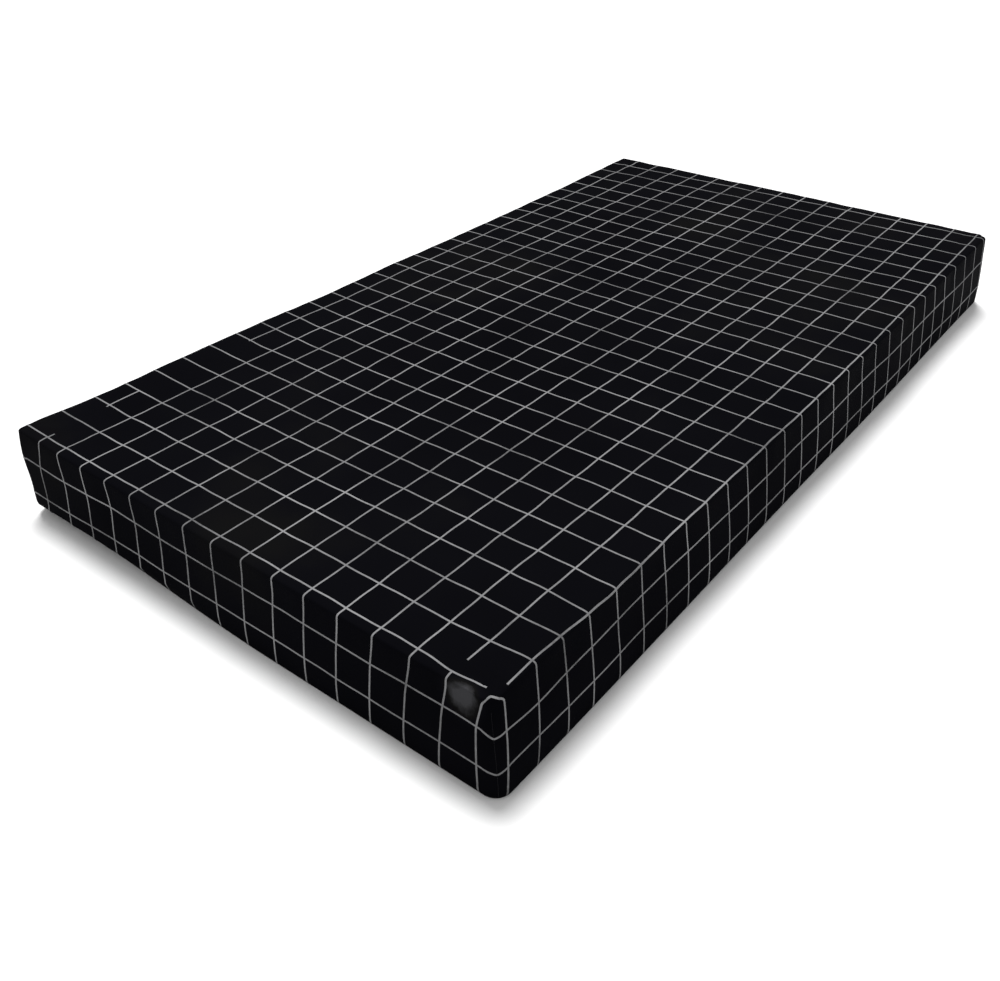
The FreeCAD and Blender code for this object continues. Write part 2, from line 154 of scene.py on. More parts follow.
def thinned(points, turn=8.0, longest=8 * MM, keep=()):
    """Fewer of a curve's points: close where it bends, with those at the heights in keep."""
    steps = np.diff(points, axis=0)
    heading = np.unwrap(np.arctan2(steps[:, 1], steps[:, 0]))
    kept = {int(np.argmin(np.abs(points[:, 1] - height))) for height in keep}
    chosen = [0]
    run = turned = 0.0
    for i in range(1, len(points) - 1):
        run += norm(steps[i - 1])
        turned += abs(heading[i] - heading[i - 1])
        if run >= longest or turned >= math.radians(turn) or i in kept:
            chosen.append(i)
            run = turned = 0.0
    return points[chosen + [len(points) - 1]]


def section_normals(section):
    """The outward normal at each point of a section: out, up."""
    slope = np.gradient(section, axis=0)
    normals = columns([-slope[:, 1], slope[:, 0]])
    return normals / norm(normals, axis=1)[:, None]


# the cover's section as close points: out from the inner rectangle, and up
SECTION = without_repeats(
    smooth_curve([(CORNER - inset * MM, height * MM) for inset, height in SECTION_MM])
)
SECTION_NORMALS = section_normals(SECTION)
SECTION_RUN = lengths_along(SECTION)
WIDEST = int(np.argmax(SECTION[:, 0]))


def on_section(run):
    """Place (out, up) and normal (out, up) on the cover's section, that far along it."""
    return columns_at(run, SECTION_RUN, SECTION, SECTION_NORMALS)


def on_cover(root_x, root_y, heading, run):
    """Points and normals on the even cover, that far down its section from a root in plan."""
    place, facing = on_section(run)
    ways = np.cos(heading), np.sin(heading)
    points = [root + way * place[:, 0] for root, way in zip((root_x, root_y), ways)]
    normals = [way * facing[:, 0] for way in ways]
    return columns([*points, place[:, 1]]), columns([*normals, facing[:, 1]])


def run_at_height(height):
    """How far along the section the wall is at that height."""
    return np.interp(-np.asarray(height), -SECTION[:, 1], SECTION_RUN)


def wall_out(height):
    """How far out of the inner rectangle the wall stands at that height."""
    return np.interp(-np.asarray(height), -SECTION[:, 1], SECTION[:, 0])


# ---- the cloth's relief

# hollows in the cloth, in mm: centre, width along each axis, depth
HOLLOWS_MM = (
    ((-944, -462, 139), (20, 22, 16), 3.0),
    ((-930, -497, 158), (16, 16, 20), 1.4),
    ((-945, -120, 128), (30, 50, 24), 1.6),
    ((-945, 260, 120), (30, 70, 28), 1.8),
    ((-520, -520, 130), (80, 30, 26), 1.5),
    ((210, -520, 124), (110, 30, 30), 1.7),
    ((700, -520, 134), (60, 30, 22), 1.3),
    ((944, 150, 128), (30, 80, 28), 2.0),
    ((150, 520, 120), (120, 30, 30), 1.8),
    ((-600, 180, 160), (160, 120, 50), 1.5),
    ((350, -130, 160), (220, 150, 50), 1.6),
)


def away_from(points, centre_mm, width_mm):
    """How many widths each point is from a place."""
    return norm((points / MM - centre_mm) / width_mm, axis=1)


def creases(points):
    """Fine pulls that fan out over the top from each of the four corners."""
    relief = np.zeros(len(points))
    for sign_x, sign_y in CORNERS:
        across_x = HALF_X - 20 * MM - sign_x * points[:, 0]
        across_y = HALF_Y - 20 * MM - sign_y * points[:, 1]
        away = np.hypot(across_x, across_y)
        angle = np.arctan2(across_y, across_x)
        fan = np.cos(angle * 9 + sign_x * 0.7 + sign_y * 0.4) ** 3
        relief += fan * ramp(away, 8 * MM, 30 * MM) * (1 - ramp(away, 70 * MM, 150 * MM))
    return 0.7 * MM * relief * ramp(points[:, 2], TOP - 14 * MM, TOP - 4 * MM)


def corner_seams(points):
    """The sunken seam up each of the four corners."""
    x, y, z = points.T
    out_x = np.abs(x) - INNER_X
    out_y = np.abs(y) - INNER_Y
    from_seam = np.abs(out_x - out_y) / math.sqrt(2)
    on_corner = ramp(np.minimum(out_x, out_y), 4 * MM, 10 * MM)
    height = ramp(z, 2 * MM, 10 * MM) * (1 - ramp(z, TOP - 34 * MM, TOP - 12 * MM))
    return -0.5 * MM * hill(from_seam, 1.4 * MM) * on_corner * height


def zip_side(points):
    """1 on the even strip of cloth that the zip is sewn into, 0 away from it."""
    x, y, z = points.T
    height = 1 - ramp(z, 44 * MM, 66 * MM)
    return height * ramp(y, HALF_Y - 12 * MM, HALF_Y - 6 * MM) * (np.abs(x) < HALF_X - 20 * MM)


def cover_relief(points, normals):
    """How far the cloth stands out from its even section, along its normal."""
    x, y, z = points.T
    crown = (1 - np.abs(x / HALF_X) ** 4) * (1 - np.abs(y / HALF_Y) ** 4)
    relief = 2.0 * MM * crown * np.clip(normals[:, 2], 0, 1)
    relief += 0.8 * MM * waves(points, 7, 0.42, 3)
    relief += 0.35 * MM * waves(points, 9, 0.13, 5)
    relief += 0.10 * MM * waves(points, 9, 0.045, 8)
    # the cloth is drawn tight over the top edge, in short shallow pulls
    along = np.where(np.abs(normals[:, 0]) > np.abs(normals[:, 1]), y, x)
    pulls = np.sin(along * math.tau / 0.083 + 2.2 * waves(points, 5, 0.3, 11))
    relief += 0.45 * MM * hill(z - (TOP - 20 * MM), 22 * MM) * pulls
    relief += creases(points)
    for centre, width, depth in HOLLOWS_MM:
        relief -= depth * MM * hill(away_from(points, centre, width), 1.0)
    relief *= ramp(z, 1 * MM, 14 * MM)
    # the cloth is doubled under beside the zip's slot, and stands a little proud there
    lip = hill(np.abs(z - ZIP_Z) - SLOT_HALF_Z - 2.5 * MM, 2.6 * MM)
    lip *= 1 - ramp(np.abs(x), SLOT_HALF_X, SLOT_HALF_X + 8 * MM)
    beside_zip = zip_side(points)
    relief += (0.7 * MM * lip - relief) * beside_zip
    return relief + corner_seams(points)


def at_side(across, half):
    """1 at a side of the mattress, falling to 0 a little in from it."""
    return ramp(across, half - 90 * MM, half - 20 * MM)


def foot_spread(x, z):
    """How far the right side's foot stands out, at its near end."""
    return 9 * MM * (1 - ramp(x, -HALF_X, 0.1)) * (1 - ramp(z, 0, 0.14))


def left_fill(x):
    """How plump the left side is along its top: most at the near end."""
    return 1 - ramp(x, -HALF_X, 0.6)


def settled(points):
    """Moves points from the even block to the shape that the mattress has settled in."""
    x, y, z = points.T
    past_x = np.clip(np.abs(x) - INNER_X, 0, None)
    past_y = np.clip(np.abs(y) - INNER_Y, 0, None)
    out = np.maximum(np.hypot(past_x, past_y), 1e-9)
    way_x, way_y = past_x / out, past_y / out
    # the upright corners: drawn in along the top of the right side, boxy on the left side
    on_diagonal = 2 * way_x * way_y
    drawn_in = 1 - 0.38 * ramp(z, 0.10, 0.155) * on_diagonal**1.2
    power = 2 + 3.2 * ramp(z, 0.02, 0.12)
    boxy = np.maximum(way_x**power + way_y**power, 1e-9) ** (-1 / power)
    reach = np.where(y < 0, drawn_in, np.where(on_diagonal > 0, boxy, 1))
    new_x = x + np.sign(x) * past_x * (reach - 1)
    new_y = y + np.sign(y) * past_y * (reach - 1)
    # the right side spreads at its near foot and draws in at its far end
    new_y -= at_side(-y, HALF_Y) * (foot_spread(x, z) - 9 * MM * ramp(x, 0.1, 0.95))
    # the left side is plump along its top, and its near corner stands out
    left_edge = ramp(y, HALF_Y - 110 * MM, HALF_Y - 14 * MM) * left_fill(x)
    above_zip = ramp(z, 0.05, 0.12)
    at_corner = ramp(-x, 0.885, 0.945) * (1 - above_zip) + ramp(-x, 0.75, 0.93) * above_zip
    new_y += 17 * MM * left_edge * above_zip
    stands_out = 9 * MM + 5 * MM * (1 - ramp(z, 0, 0.10))
    new_y += stands_out * at_corner * ramp(y, HALF_Y - 60 * MM, HALF_Y - 25 * MM)
    # the near end's foot stands a little out, and is curled under towards the left corner
    front = at_side(-x, HALF_X)
    new_x -= front * 3 * MM * (1 - ramp(z, 0, 0.11))
    new_x += front * 16 * MM * (1 - ramp(z, 0, 0.028)) * ramp(y, -0.1, 0.45)
    # the far end draws in towards the right
    new_x -= at_side(x, HALF_X) * 9 * MM * ramp(-y, 0, 0.5)
    top_edges = left_edge + ramp(x, 0.6, 0.93) * 0.8
    return columns([new_x, new_y, z + 5 * MM * top_edges * ramp(z, 0.08, 0.15)])


def laid_on(points, normals, proud=0.0):
    """Lifts points from the even block onto the real cloth."""
    return settled(points) + normals * (cover_relief(points, normals) + proud)[:, None]


# ---- mesh helpers


def stations(half, spacing=11 * MM, fine=4.5 * MM, border=70 * MM, keep=()):
    """Places from -half to half, closer together within the border at each end."""
    inside = np.linspace(border - half, half - border, round(2 * (half - border) / spacing) + 1)
    end = np.linspace(half - border, half, round(border / fine) + 1)[1:]
    places = np.concatenate([-end[::-1], inside, end])
    for place in keep:
        places[np.argmin(np.abs(places - place))] = place
    return places


GRID_X = stations(INNER_X)
GRID_Y = stations(INNER_Y)


def perimeter(xs, ys, steps=16):
    """The stations round the inner rectangle, anticlockwise from its -X -Y corner.

    Returns the grid points that they start from, as indices and in plan, and the plan
    directions that they face."""
    last_x, last_y = len(xs) - 1, len(ys) - 1
    fan = np.linspace(-1, 1, steps + 1)
    turns = 45 + 45 * np.sign(fan) * np.abs(fan) ** 1.5
    sides = (
        ([(i, 0) for i in range(last_x + 1)], -90),
        ([(last_x, j) for j in range(last_y + 1)], 0),
        ([(i, last_y) for i in range(last_x, -1, -1)], 90),
        ([(0, j) for j in range(last_y, -1, -1)], 180),
    )
    ring, facing = [], []
    for cells, side_facing in sides:
        ring += cells + [cells[-1]] * (steps - 1)
        facing += [side_facing] * len(cells) + list(side_facing + turns[1:-1])
    outward = columns([np.cos(np.radians(facing)), np.sin(np.radians(facing))])
    return ring, np.array([(xs[i], ys[j]) for i, j in ring]), outward


def block(section, xs=GRID_X, top=True, bottom=False):
    """A flat-topped block with that section all round: points, normals, rows and faces.

    A row is a point's place in the section. With neither top nor bottom the section closes on
    itself, as in a band."""
    ring, roots, outward = perimeter(xs, GRID_Y)
    section_facing = section_normals(section)
    points, normals, rows, faces, loops = [], [], [], [], []
    count = 0
    across = len(GRID_Y)
    plan = np.array([(x, y) for x in xs for y in GRID_Y])

    def add(plan, facing, row):
        points.append(columns([plan, np.full(len(plan), section[row, 1])]))
        normals.append(columns([facing, np.full(len(plan), section_facing[row, 1])]))
        rows.append(np.full(len(plan), row))
        return len(plan)

    for wanted, row, way in ((top, 0, 1), (bottom, len(section) - 1, -1)):
        if not wanted:
            continue
        starts = [i * across + j for i in range(len(xs) - 1) for j in range(across - 1)]
        for a in starts:
            faces.append(tuple(count + a + k for k in (0, across, across + 1, 1))[::way])
        if row == 0:
            loops.append([i * across + j for i, j in ring])
        count += add(plan, plan * 0, row)
    for row in range(1 if top else 0, len(section)):
        loops.append(list(range(count, count + len(ring))))
        count += add(roots + outward * section[row, 0], outward * section_facing[row, 0], row)
    if not top and not bottom:
        loops.append(loops[0])
    for upper, lower in zip(loops, loops[1:]):
        for s in range(len(ring)):
            after = (s + 1) % len(ring)
            face = tuple(dict.fromkeys((upper[s], lower[s], lower[after], upper[after])))
            if len(face) > 2:
                faces.append(face)
    return np.vstack(points), np.vstack(normals), np.concatenate(rows), faces


def added(name, data):
    """A new object in the scene."""
    thing = bpy.data.objects.new(name, data)
    bpy.context.scene.collection.objects.link(thing)
    return thing


def new_object(name, points, faces):
    mesh = bpy.data.meshes.new(name)
    mesh.from_pydata(np.asarray(points).tolist(), [], faces)
    return added(name, mesh)


def smoothed(thing, sharp):
    """Smooth, except across edges sharper than that angle."""
    thing.data.shade_smooth()
    thing.data.set_sharp_from_angle(angle=math.radians(sharp))
    return thing


def welded(name, points, faces, sharp=50):
    """A mesh object whose points don't lie together or loose, with its faces turned outwards."""
    thing = new_object(name, points, faces)
    work = bmesh.new()
    work.from_mesh(thing.data)
    bmesh.ops.delete(work, geom=[v for v in work.verts if not v.link_faces], context="VERTS")
    bmesh.ops.remove_doubles(work, verts=work.verts, dist=1e-6)
    bmesh.ops.recalc_face_normals(work, faces=work.faces)
    work.to_mesh(thing.data)
    work.free()
    return smoothed(thing, sharp)


def thickened(thing, thickness):
    """Gives a cloth its thickness, on the inside."""
    modifier = thing.modifiers.new("thickness", "SOLIDIFY")
    modifier.thickness = thickness
    modifier.offset = -1.0
    seen = thing.evaluated_get(bpy.context.evaluated_depsgraph_get())
    applied = bpy.data.meshes.new_from_object(seen)
    thing.modifiers.clear()
    thing.data = applied
    return smoothed(thing, 60)


def strip(points, normals, width, proud, sunk):
    """A flat strip along a path, closed all round."""
    along = np.gradient(points, axis=0)
    across = np.cross(along, normals)
    across *= (width / 2 / norm(across, axis=1))[:, None]
    corners = (
        points + across + normals * proud,
        points - across + normals * proud,
        points - across - normals * sunk,
        points + across - normals * sunk,
    )
    return np.stack(corners, axis=1)


def tube(points, normals, radius, sides=6):
    """A round thread along a path. The radius may be one number or one for each point."""
    along = np.gradient(points, axis=0)
    across = np.cross(along, normals)
    across /= norm(across, axis=1)[:, None]
    up = np.cross(across, along)
    up /= norm(up, axis=1)[:, None]
    radius = np.broadcast_to(radius, len(points))[:, None]
    turns = [math.tau * k / sides for k in range(sides)]
    rings = [points + (across * math.cos(t) + up * math.sin(t)) * radius for t in turns]
    return np.stack(rings, axis=1)


def joined(name, tubes, sharp=50):
    """One object of several strips or tubes, each an array (places along, places round, 3)."""
    tables, faces, count = [], [], 0
    for rings in tubes:
        length, sides = rings.shape[:2]
        for i in range(length - 1):
            low = count + i * sides
            for k in range(sides):
                after = (k + 1) % sides
                faces.append((low + k, low + after, low + sides + after, low + sides + k))
        faces.append(tuple(count + k for k in reversed(range(sides))))
        faces.append(tuple(count + (length - 1) * sides + k for k in range(sides)))
        tables.append(rings.reshape(-1, 3))
        count += length * sides
    return welded(name, np.vstack(tables), faces, sharp)


def stitches(points, normals, length, gap, radius):
    """Tubes for a row of stitches along a path: each rises from the cloth and dips back in."""
    run = lengths_along(points)
    made = []
    start = gap / 2
    while start + length < run[-1]:
        places = start + length * np.array((0, 0.12, 0.4, 0.7, 0.9, 1))
        at, facing = columns_at(places, run, points, normals)
        rise = radius * np.array((-0.9, 0.2, 0.75, 0.75, 0.2, -0.9))
        made.append(tube(at + facing * rise[:, None], facing, radius))
        start += length + gap
    return made


def finished(thing, material, nodes=()):
    """The piece rides on the mattress, takes its material, and stands for its nodes."""
    thing.data.materials.append(material)
    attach(thing, "mattress")
    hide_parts(*nodes)
    return thing


# ---- materials


class Nodes:
    """Short calls for building one material's node tree."""

    def __init__(self, name, roughness, specular=0.5, metallic=0.0):
        self.material = bpy.data.materials.new(name)
        self.material.use_nodes = True
        self.tree = self.material.node_tree
        self.place = self.new("ShaderNodeTexCoord", {}, "Object")
        self.shade("Roughness", roughness)
        self.shade("Specular IOR Level", specular)
        self.shade("Metallic", metallic)

    def fill(self, node, name, given):
        """Links a socket into a node's input, or sets the input to a number or colour."""
        if isinstance(given, bpy.types.NodeSocket):
            self.tree.links.new(given, node.inputs[name])
        else:
            node.inputs[name].default_value = given

    def shade(self, name, given):
        self.fill(self.tree.nodes["Principled BSDF"], name, given)

    def new(self, kind, inputs, output=0, **settings):
        """Adds a node and returns one of its outputs."""
        node = self.tree.nodes.new(kind)
        for name, setting in settings.items():
            setattr(node, name, setting)
        for name, given in inputs.items():
            self.fill(node, name, given)
        return node.outputs[output]

    def noise(self, scale, detail=4.0, stretch=(1, 1, 1)):
        place = self.new("ShaderNodeMapping", {"Scale": stretch, "Vector": self.place})
        inputs = {"Scale": scale, "Detail": detail, "Vector": place}
        return self.new("ShaderNodeTexNoise", inputs, "Fac")

    def near(self, place, reach):
        """1 at a place, falling to 0 at that distance from it."""
        inputs = {0: self.place, 1: place}
        away = self.new("ShaderNodeVectorMath", inputs, "Value", operation="DISTANCE")
        return self.spread(away, 1, 0, reach, "SMOOTHSTEP")

    def bands(self, direction, pitch):
        """A wave along one axis, with one period each pitch."""
        inputs = {"Scale": math.tau / 20 / pitch, "Vector": self.place}
        return self.new("ShaderNodeTexWave", inputs, "Fac", bands_direction=direction)

    def maths(self, operation, a, b):
        return self.new("ShaderNodeMath", {0: a, 1: b}, operation=operation)

    def spread(self, factor, low, high, top=1.0, kind="LINEAR"):
        """Turns 0 to top into low to high."""
        inputs = {"Value": factor, "From Max": top, "To Min": low, "To Max": high}
        return self.new("ShaderNodeMapRange", inputs, "Result", interpolation_type=kind)

    def colour(self, factor, *stops):
        """Base colour by a colour ramp: each stop is (place, (red, green, blue))."""
        output = self.new("ShaderNodeValToRGB", {"Fac": factor}, "Color")
        elements = output.node.color_ramp.elements
        while len(elements) < len(stops):
            elements.new(0.5)
        for element, (place, colour) in zip(elements, stops):
            element.position = place
            element.color = (*colour, 1)
        self.shade("Base Color", output)

    def gloss(self, scale, detail, low, high):
        """Roughness that drifts between two values."""
        self.shade("Roughness", self.spread(self.noise(scale, detail), low, high))

    def bump(self, height, depth, strength=1.0, under=None):
        inputs = {"Strength": strength, "Distance": depth, "Height": height}
        if under is not None:
            inputs["Normal"] = under
        output = self.new("ShaderNodeBump", inputs, "Normal")
        self.shade("Normal", output)
        return output

    def sheen(self, weight, roughness, tint=(1, 1, 1)):
        self.shade("Sheen Weight", weight)
        self.shade("Sheen Roughness", roughness)
        self.shade("Sheen Tint", (*tint, 1))


def weave(nodes, pitch):
    """Threads that cross over and under, on whichever way the cloth faces."""
    crossed = nodes.maths("MULTIPLY", nodes.bands("X", pitch), nodes.bands("Y", pitch))
    return nodes.maths("ADD", crossed, nodes.bands("Z", pitch))


def black_cloth():
    """Close black plain weave with the faint satin of microfibre, with a painted sheen highlight
    on the dent beside the near corner.
    """
    nodes = Nodes("black_cloth", roughness=0.5, specular=0.001)
    drift = nodes.maths("MULTIPLY", nodes.noise(3.0, 3.0), 0.8)
    slub = nodes.maths("MULTIPLY", nodes.noise(900, 2.0), 0.2)
    # painted highlight: a lighter patch in the cloth's colour on the dent beside the near corner,
    # standing in for the satin sheen the dent catches; the lightest colour stop is this painted
    # highlight
    highlight_spot = nodes.near((-0.958, -0.466, 0.147), 52 * MM)
    painted_highlight = nodes.maths("MULTIPLY", highlight_spot, nodes.spread(nodes.noise(45, 2.0), 0.7, 2.0))
    nodes.colour(
        nodes.maths("ADD", nodes.maths("ADD", drift, slub), painted_highlight),
        (0.30, (0.0020, 0.0020, 0.0028)),
        (0.55, (0.0029, 0.0029, 0.0040)),
        (0.75, (0.0052, 0.0051, 0.0050)),
        (1.00, (0.0420, 0.0420, 0.0450)),
    )
    nodes.gloss(14, 5.0, 0.36, 0.58)
    threads = nodes.bump(weave(nodes, 0.9 * MM), 0.05 * MM, 0.6)
    nodes.bump(nodes.noise(60, 4.0), 0.25 * MM, 0.5, under=threads)
    nodes.sheen(0.001, 0.35, (0.8, 0.85, 1.0))
    return nodes.material


def check_yarn():
    """The pale yarn of the check, which fades and thins here and there."""
    nodes = Nodes("check_yarn", roughness=0.75, specular=0.2)
    speckle = nodes.maths("MULTIPLY", nodes.noise(160, 2.0), 0.35)
    nodes.colour(
        nodes.maths("ADD", nodes.noise(7, 3.0), speckle),
        (0.42, (0.072, 0.072, 0.074)),
        (0.60, (0.150, 0.150, 0.154)),
        (0.85, (0.235, 0.235, 0.240)),
    )
    nodes.bump(weave(nodes, 0.9 * MM), 0.08 * MM, 0.8)
    nodes.sheen(0.05, 0.4)
    return nodes.material


def plain_cloth(name, dark, light, pitch):
    """A matt woven cloth whose colour drifts between two shades."""
    nodes = Nodes(name, roughness=0.8, specular=0.25)
    nodes.colour(nodes.noise(9, 4.0), (0.3, dark), (0.7, light))
    threads = nodes.bump(weave(nodes, pitch), 0.12 * MM, 0.8)
    nodes.bump(nodes.noise(45, 3.0), 0.3 * MM, 0.4, under=threads)
    nodes.sheen(0.1, 0.4)
    return nodes.material


def fibre_fill():
    """Lofty polyester wadding: pale, soft, with strands that lie along the pad."""
    nodes = Nodes("fibre_fill", roughness=0.95, specular=0.15)
    strands = nodes.noise(220, 6.0, stretch=(1.0, 0.25, 1.0))
    nodes.colour(strands, (0.3, (0.72, 0.70, 0.66)), (0.7, (0.90, 0.89, 0.86)))
    nodes.bump(strands, 1.5 * MM, 0.9)
    nodes.sheen(0.3, 0.5)
    return nodes.material


def foam(name, dark, light):
    """Open-cell foam: a close field of small pits."""
    nodes = Nodes(name, roughness=0.9, specular=0.2)
    cells = nodes.new("ShaderNodeTexVoronoi", {"Scale": 700, "Vector": nodes.place}, "Distance")
    pits = nodes.maths("MULTIPLY", cells, 0.2)
    nodes.colour(nodes.maths("ADD", nodes.noise(5, 3.0), pits), (0.35, dark), (0.8, light))
    nodes.bump(cells, 0.6 * MM, 0.8)
    return nodes.material


def sewing_thread():
    nodes = Nodes("sewing_thread", roughness=0.55, specular=0.1)
    nodes.colour(nodes.noise(900, 3.0), (0.3, (0.004, 0.004, 0.005)), (0.7, (0.012, 0.012, 0.014)))
    nodes.bump(nodes.noise(2500, 3.0, stretch=(1, 1, 4)), 0.1 * MM, 0.6)
    nodes.sheen(0.03, 0.3)
    return nodes.material


def zip_nylon():
    nodes = Nodes("zip_nylon", roughness=0.32, specular=0.5)
    nodes.colour(nodes.noise(40, 3.0), (0.3, (0.010, 0.010, 0.012)), (0.7, (0.020, 0.020, 0.024)))
    nodes.gloss(300, 3.0, 0.25, 0.45)
    nodes.bump(nodes.noise(1500, 2.0), 0.03 * MM, 0.4)
    return nodes.material


def zip_lacquer():
    """Black lacquered zinc, rubbed a little brighter where it is handled."""
    nodes = Nodes("zip_lacquer", roughness=0.3, specular=0.5, metallic=0.6)
    nodes.colour(
        nodes.noise(420, 5.0),
        (0.40, (0.012, 0.012, 0.013)),
        (0.62, (0.030, 0.030, 0.032)),
        (0.74, (0.16, 0.15, 0.14)),
    )
    nodes.gloss(900, 4.0, 0.22, 0.42)
    nodes.bump(nodes.noise(1200, 3.0), 0.03 * MM, 0.4)
    return nodes.material


def crimped_steel():
    nodes = Nodes("crimped_steel", roughness=0.35, specular=0.5, metallic=1.0)
    nodes.colour(nodes.noise(600, 4.0), (0.3, (0.30, 0.30, 0.31)), (0.7, (0.46, 0.46, 0.47)))
    nodes.gloss(1400, 3.0, 0.28, 0.5)
    nodes.bump(nodes.noise(1800, 3.0), 0.04 * MM, 0.5)
    return nodes.material


# ---- the cover


def make_cover(material):
    """Top and four sides of the cover in one cloth, with the slot for the zip."""
    slot_edges = (ZIP_Z - SLOT_HALF_Z, ZIP_Z + SLOT_HALF_Z)
    section = thinned(SECTION, keep=slot_edges)
    xs = stations(INNER_X, keep=(-SLOT_HALF_X, SLOT_HALF_X))
    points, normals, _, faces = block(section, xs)
    middle = np.array([points[list(face)].mean(axis=0) for face in faces])
    in_slot = (
        (middle[:, 1] > HALF_Y - 5 * MM)
        & (np.abs(middle[:, 0]) < SLOT_HALF_X)
        & (np.abs(middle[:, 2] - ZIP_Z) < SLOT_HALF_Z - 0.5 * MM)
    )
    faces = [face for face, gone in zip(faces, in_slot) if not gone]
    cover = thickened(welded("cover", laid_on(points, normals), faces), CLOTH)
    finished(cover, material, ["cover_cap"])


def flat_panel(name, node, inset, edge, slot, material, rests_on):
    """A flat cloth with a rounded rim, that far in from the cover's widest outline."""
    low, high = (corner.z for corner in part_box(node))
    out = CORNER - inset
    bevel = 0.15 * (high - low)
    upper = [(0, high), (out - edge, high), (out - 0.3 * edge, high - bevel)]
    lower = [(out - 0.3 * edge, low + bevel), (out - edge, low), (0, low)]
    rim = np.array([*upper, (out, (low + high) / 2), *lower])
    points, _, _, faces = block(rim, bottom=True)
    panel = welded(name, settled(points), faces)
    finished(panel, material, [node])


def make_bottom_panel(material):
    """The cover's underside: one plain cloth, sewn to the sides all round."""
    place = (2.0 * MM, 1.2 * MM)
    flat_panel("bottom_panel", "cover_bottom_panel", *place, "base_cloth", material, "cover")


# ---- the layers inside


def layer(name, section, outer_rows, inset, top=True, bottom=True):
    """A layer whose first rows follow the cover's relief, but stay flat beside the zip."""
    points, normals, rows, faces = block(section, top=top, bottom=bottom)
    outside = points + normals * inset
    beside_zip = zip_side(outside)
    relief = cover_relief(outside, normals) * (1 - beside_zip) - 0.5 * MM * beside_zip
    points = settled(points) + normals * (relief * (rows < outer_rows))[:, None]
    return welded(name, points, faces)


def inside_of_cover(inset, low, high, turn=12.0):
    """The cover's section moved inwards, between two heights."""
    moved = SECTION - SECTION_NORMALS * inset
    kept = moved[(moved[:, 1] >= low) & (moved[:, 1] <= high) & (moved[:, 0] >= 0)]
    kept[0, 0] = 0.0
    return thinned(kept, turn=turn, longest=12 * MM)


def make_casing(material):
    """The inner casing: thin white cloth over the whole filling."""
    section = inside_of_cover(CASING_INSET, casing_high.z, TOP)
    cap = layer("casing", section, len(section), CASING_INSET, bottom=False)
    finished(thickened(cap, CASING_CLOTH), material, ["casing_cap"])
    place = (5 * MM, 0.8 * MM)
    flat_panel("casing_base", "casing_bottom", *place, "casing_cloth", material, "bottom_panel")


def make_pads(material):
    """Two fibre pads, above and below the foam, and a fibre wrap round its edge."""
    gap = 0.2 * MM
    edge = 2 * MM
    over_foam = comfort_high.z + gap
    under_foam = core_low.z - gap
    upper = inside_of_cover(PAD_INSET, over_foam, TOP)
    flat_z = over_foam - gap / 2
    upper_all = np.vstack([upper, [(upper[-1, 0] - edge, flat_z), (0, flat_z)]])
    top_pad = layer("top_pad", upper_all, len(upper), PAD_INSET)
    finished(top_pad, material, ["top_fibre_pad"])
    floor_z = casing_high.z + gap
    lower = inside_of_cover(PAD_INSET, floor_z, under_foam)[1:]
    above = [(0, under_foam), (lower[0, 0] - edge, under_foam)]
    bottom_pad = layer("bottom_pad", np.vstack([above, lower, [(0, floor_z)]]), 0, PAD_INSET)
    finished(bottom_pad, material, ["bottom_fibre_pad"])
    heights = np.linspace(comfort_high.z - gap, core_low.z + gap, 14)
    outside = columns([wall_out(heights) - PAD_INSET, heights])
    inside = columns([wall_out(heights) - FOAM_INSET + 2 * gap, heights])[::-1]
    wrap = layer("edge_wrap", np.vstack([outside, inside]), len(outside), PAD_INSET, False, False)
    finished(wrap, material, ["edge_fibre_wrap"])


def make_foam(name, node, material):
    """A foam slab: sawn flat above and below, with slightly softened edges."""
    low, high = (corner.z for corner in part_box(node))
    soft = 3 * MM
    shave = 0.3 * soft
    heights = np.linspace(high - soft, low + soft, 8)
    wall = columns([wall_out(heights) - FOAM_INSET, heights])
    top_out, foot_out = wall[0, 0], wall[-1, 0]
    above = [(0, high), (top_out - soft, high), (top_out - shave, high - shave)]
    below = [(foot_out - shave, low + shave), (foot_out - soft, low), (0, low)]
    slab = layer(name, np.vstack([above, wall, below]), 0, FOAM_INSET)
    finished(slab, material, [node])


# ---- the check's lines


# where the top's cloth is drawn aside, in mm: centre in plan, width along each axis, shift
PULLS_MM = (
    ((-860, -510), (45, 60), (7.5, 2)),
    ((-924, -440), (35, 35), (-5, 3)),
    ((-710, -500), (60, 50), (-5, 0)),
    ((-660, -500), (110, 50), (0, -4)),
    ((-300, -520), (230, 130), (-9, 0)),
    ((480, -460), (120, 100), (7, 0)),
    ((450, 440), (170, 110), (7, 0)),
    ((887, -480), (150, 120), (0, -4)),
)


def drawn_aside(x, y, axis):
    """The pull, along one axis, of all the places where the cloth is drawn aside."""
    total = 0
    for (centre_x, centre_y), (width_x, width_y), shift in PULLS_MM:
        away = np.hypot((x / MM - centre_x) / width_x, (y / MM - centre_y) / width_y)
        total = total + shift[axis] * MM * hill(away, 1)
    return total


def pull_x(x, y, z):
    """How far the lines that run across the width are pulled along the length."""
    across = y / HALF_Y
    bow = (1 - across**2) * (-16 * hill(x + 0.32, 0.3) - 6 * hill(x - 0.5, 0.3))
    skew = (-3.7 - 13.8 * across) * ramp(x, 0, 0.6)
    lean = 17 * np.clip((x + 0.8) / 0.93, 0, 1) - 10 * hill(x + 0.86, 0.03)
    lean = lean * (1 - z / TOP) * (y < 0)
    dragged = 1.5 * foot_spread(x, z) * at_side(-y, HALF_Y)
    wobble = 0.4 * np.sin(y * 43 + x * 57) + 0.3 * np.sin(y * 101 - x * 83 + z * 20)
    drift = 1.9 + 3 * hill(x + HALF_X, 0.2)
    return MM * (drift + bow + skew + lean + wobble) + drawn_aside(x, y, 0) - dragged


